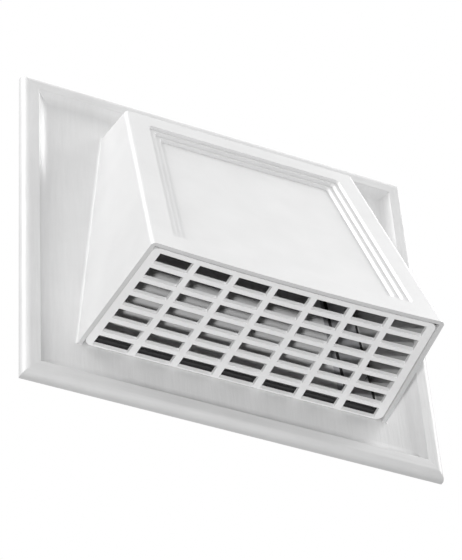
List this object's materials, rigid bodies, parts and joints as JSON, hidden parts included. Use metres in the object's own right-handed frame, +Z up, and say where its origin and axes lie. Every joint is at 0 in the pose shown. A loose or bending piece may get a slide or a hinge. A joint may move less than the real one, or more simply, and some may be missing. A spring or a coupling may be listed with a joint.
{
  "type": "hooded vent",
  "caption": "White moulded wall vent: framed plate with a flared downward hood, slotted guard in its mouth, hinged damper flap and round duct spigot behind.",
  "frame": {"origin": "on the duct's axis, in the plane of the wall's face that the plate's rim bears on", "axes": "+X to the right across the plate, +Y into the wall along the duct, +Z up; the hood stands out towards -Y and opens downwards"},
  "size_m": [0.3, 0.1555, 0.28],
  "materials": {
    "white_moulding": "white moulded plastic, satin, with faint wood grain on the plate",
    "guard_plastic": "white moulded plastic, satin",
    "box_plastic": "plain dark grey plastic, matt",
    "flap_plastic": "plain light plastic, matt"
  },
  "bodies": {
    "housing": {"hood": "white_moulding", "guard": "guard_plastic", "back_box": "box_plastic"},
    "damper": {"flap": "flap_plastic"}
  },
  "joints": [
    {"name": "flap_swing", "type": "hinge", "parent": "housing", "child": "damper", "pos_m": [0, 0.0195, 0.0815], "axis": [-1, 0, 0], "range_deg": [0, 35]}
  ]
}
